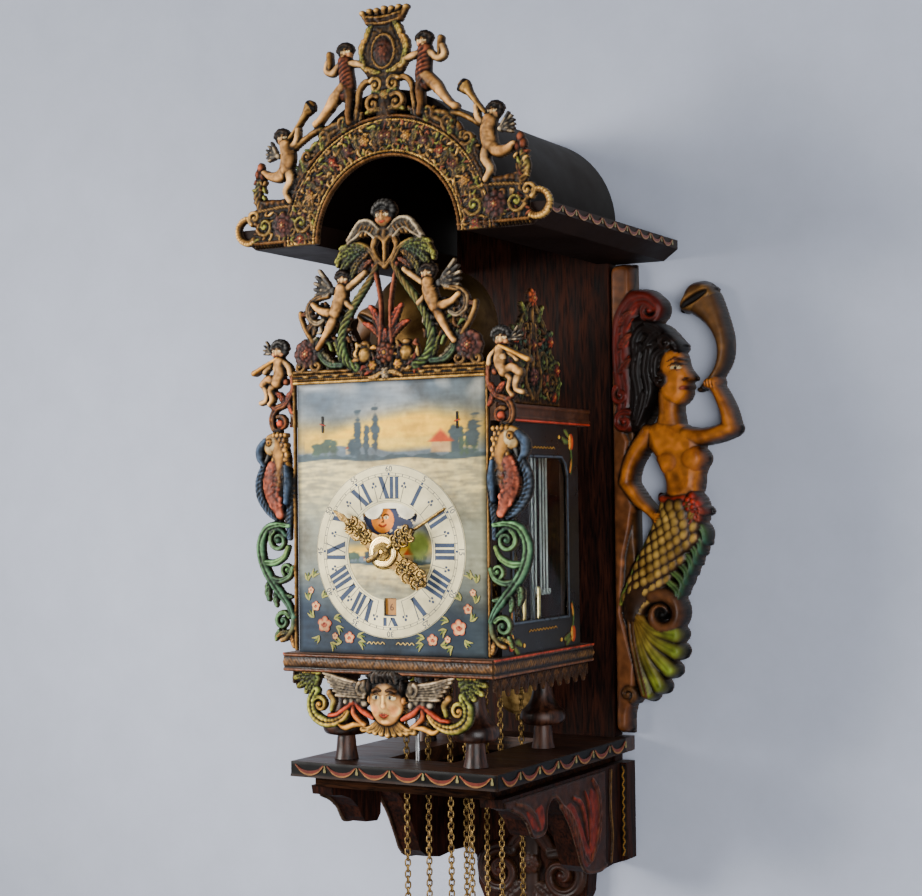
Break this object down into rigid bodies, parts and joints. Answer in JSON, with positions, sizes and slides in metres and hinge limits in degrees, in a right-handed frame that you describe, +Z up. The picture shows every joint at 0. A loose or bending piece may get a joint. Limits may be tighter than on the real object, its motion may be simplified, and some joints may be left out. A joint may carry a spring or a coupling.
{
  "type": "astronomical wall clock",
  "caption": "Wall clock on a carved bracket: canopied hood, cast ornament, painted dial with moon phase and date, glazed side doors, bell, pendulum and chains with driving weights.",
  "frame": {"origin": "rear face of the back board, on the centre line, level with the top of the shelf", "axes": "+X to the right seen from the front, +Y into the wall, +Z up"},
  "size_m": [0.4436, 0.2975, 1.0073],
  "materials": {
    "back_wood": "dark stained oak, waxed",
    "bracket_wood": "dark stained oak, waxed",
    "mermaid_wood": "carved and painted wood, varnished",
    "canopy_paint": "black painted wood with festoons",
    "cast_ornament": "cast lead, painted and gilt, worn",
    "foot_wood": "turned and stained",
    "case_wood": "stained moulding",
    "iron_frame": "forged and blackened",
    "dial_paint": "painted landscape under varnish",
    "door_paint": "black paint with flowers",
    "door_glass": "clear pane",
    "hand_brass": "cast and chased",
    "moon_paint": "night sky with moons",
    "date_paint": "painted ring",
    "wheel_brass": "cut wheels on steel arbors",
    "steel_work": "filed steel",
    "pendulum_brass": "aged brass",
    "bell_bronze": "aged bell metal",
    "chain_brass": "aged brass links",
    "weight_brass": "brass sleeve",
    "ring_lead": "cast ring"
  },
  "bodies": {
    "bracket_and_case": {"back_board": "back_wood", "lower_back_board": "back_wood", "seat_shelf": "bracket_wood", "console_left": "bracket_wood", "console_right": "bracket_wood", "mermaid_left": "mermaid_wood", "mermaid_right": "mermaid_wood", "canopy_eaves_left": "canopy_paint", "canopy_eaves_right": "canopy_paint", "canopy_vault": "canopy_paint", "canopy_crest": "cast_ornament", "front_crest": "cast_ornament", "side_crest_left": "cast_ornament", "side_crest_right": "cast_ornament", "column_left": "cast_ornament", "column_right": "cast_ornament", "apron": "cast_ornament", "fringe_left": "cast_ornament", "fringe_right": "cast_ornament", "foot_front_left": "foot_wood", "foot_front_right": "foot_wood", "foot_rear_left": "foot_wood", "foot_rear_right": "foot_wood", "base_board": "case_wood", "top_board": "case_wood", "post_front_left": "iron_frame", "post_front_right": "iron_frame", "post_rear_left": "iron_frame", "post_rear_right": "iron_frame", "dial_plate": "dial_paint", "front_bar": "iron_frame", "middle_bar": "iron_frame", "rear_bar": "iron_frame", "stay_rod": "steel_work", "bell": "bell_bronze", "chain_front": "chain_brass", "chain_rear": "chain_brass"},
    "minute": {"minute_hand": "hand_brass", "centre_wheel": "wheel_brass"},
    "hour": {"hour_hand": "hand_brass"},
    "alarm_setting": {"alarm_disc": "hand_brass"},
    "motion": {"motion_wheel": "wheel_brass"},
    "great": {"great_wheel": "wheel_brass"},
    "escape": {"escape_wheel": "wheel_brass"},
    "moon": {"moon_disc": "moon_paint"},
    "date": {"date_ring": "date_paint"},
    "anchor": {"anchor": "steel_work"},
    "pendulum": {"pendulum": "pendulum_brass"},
    "strike": {"strike_wheel": "wheel_brass"},
    "alarm": {"alarm_wheel": "wheel_brass"},
    "idler": {"idler_wheel": "wheel_brass"},
    "hammer": {"hammer": "steel_work"},
    "door_left": {"door_left": "door_paint", "door_glass_left": "door_glass"},
    "door_right": {"door_right": "door_paint", "door_glass_right": "door_glass"},
    "weight_front": {"weight_front": "weight_brass"},
    "weight_rear": {"weight_rear": "weight_brass"},
    "ring_front": {"ring_front": "ring_lead"},
    "ring_rear": {"ring_rear": "ring_lead"}
  },
  "joints": [
    {"name": "minute_turn", "type": "hinge", "parent": "bracket_and_case", "child": "minute", "pos_m": [0, 0, 0.1865], "axis": [0, 1, 0], "continuous": true},
    {"name": "hour_turn", "type": "hinge", "parent": "bracket_and_case", "child": "hour", "pos_m": [0, 0, 0.1865], "axis": [0, 1, 0], "continuous": true},
    {"name": "alarm_set", "type": "hinge", "parent": "hour", "child": "alarm_setting", "pos_m": [0, 0, 0.1865], "axis": [0, 1, 0], "continuous": true},
    {"name": "motion_turn", "type": "hinge", "parent": "bracket_and_case", "child": "motion", "pos_m": [0.025, 0, 0.1865], "axis": [0, 1, 0], "continuous": true},
    {"name": "great_turn", "type": "hinge", "parent": "bracket_and_case", "child": "great", "pos_m": [0, 0, 0.1557], "axis": [0, 1, 0], "continuous": true},
    {"name": "escape_turn", "type": "hinge", "parent": "bracket_and_case", "child": "escape", "pos_m": [0, 0, 0.2089], "axis": [0, 1, 0], "continuous": true},
    {"name": "moon_turn", "type": "hinge", "parent": "bracket_and_case", "child": "moon", "pos_m": [0, 0, 0.2265], "axis": [0, 1, 0], "continuous": true},
    {"name": "date_turn", "type": "hinge", "parent": "bracket_and_case", "child": "date", "pos_m": [0, 0, 0.1865], "axis": [0, 1, 0], "continuous": true},
    {"name": "pendulum_swing", "type": "hinge", "parent": "bracket_and_case", "child": "pendulum", "pos_m": [0, -0.048, 0.2365], "axis": [0, 1, 0], "range_deg": [-5, 5]},
    {"name": "anchor_rock", "type": "hinge", "parent": "bracket_and_case", "child": "anchor", "pos_m": [0, -0.048, 0.2365], "axis": [0, 1, 0], "range_deg": [-5, 5]},
    {"name": "strike_turn", "type": "hinge", "parent": "bracket_and_case", "child": "strike", "pos_m": [0, 0, 0.135], "axis": [0, 1, 0], "continuous": true},
    {"name": "alarm_turn", "type": "hinge", "parent": "bracket_and_case", "child": "alarm", "pos_m": [0, 0, 0.135], "axis": [0, 1, 0], "continuous": true},
    {"name": "idler_turn", "type": "hinge", "parent": "bracket_and_case", "child": "idler", "pos_m": [0, 0, 0.135], "axis": [0, 1, 0], "continuous": true},
    {"name": "hammer_turn", "type": "hinge", "parent": "bracket_and_case", "child": "hammer", "pos_m": [0.08, -0.17, 0.3127], "axis": [0, 0, 1], "range_deg": [-7, 18]},
    {"name": "door_left_swing", "type": "hinge", "parent": "bracket_and_case", "child": "door_left", "pos_m": [-0.0995, -0.1185, 0.0966], "axis": [0, 0, -1], "range_deg": [0, 100]},
    {"name": "door_right_swing", "type": "hinge", "parent": "bracket_and_case", "child": "door_right", "pos_m": [0.0995, -0.1185, 0.0966], "axis": [0, 0, 1], "range_deg": [0, 100]},
    {"name": "weight_front_lift", "type": "slide", "parent": "bracket_and_case", "child": "weight_front", "axis": [0, 0, 1], "range_m": [0, 0.08], "deforming": ["chain_front"]},
    {"name": "ring_front_drop", "type": "slide", "parent": "bracket_and_case", "child": "ring_front", "axis": [0, 0, 1], "range_m": [-0.08, 0], "deforming": ["chain_front"]},
    {"name": "weight_rear_lift", "type": "slide", "parent": "bracket_and_case", "child": "weight_rear", "axis": [0, 0, 1], "range_m": [0, 0.08], "deforming": ["chain_rear"]},
    {"name": "ring_rear_drop", "type": "slide", "parent": "bracket_and_case", "child": "ring_rear", "axis": [0, 0, 1], "range_m": [-0.08, 0], "deforming": ["chain_rear"]}
  ],
  "couplings": [
    {"joint": "hour_turn", "follows": "minute_turn", "ratio": 0.083333},
    {"joint": "motion_turn", "follows": "minute_turn", "ratio": -0.33333},
    {"joint": "great_turn", "follows": "minute_turn", "ratio": -0.16667},
    {"joint": "escape_turn", "follows": "minute_turn", "ratio": -6},
    {"joint": "moon_turn", "follows": "minute_turn", "ratio": -0.00070621},
    {"joint": "date_turn", "follows": "minute_turn", "ratio": 0.0013441},
    {"joint": "anchor_rock", "follows": "pendulum_swing", "ratio": 1},
    {"joint": "ring_front_drop", "follows": "weight_front_lift", "ratio": -1},
    {"joint": "ring_rear_drop", "follows": "weight_rear_lift", "ratio": -1}
  ]
}
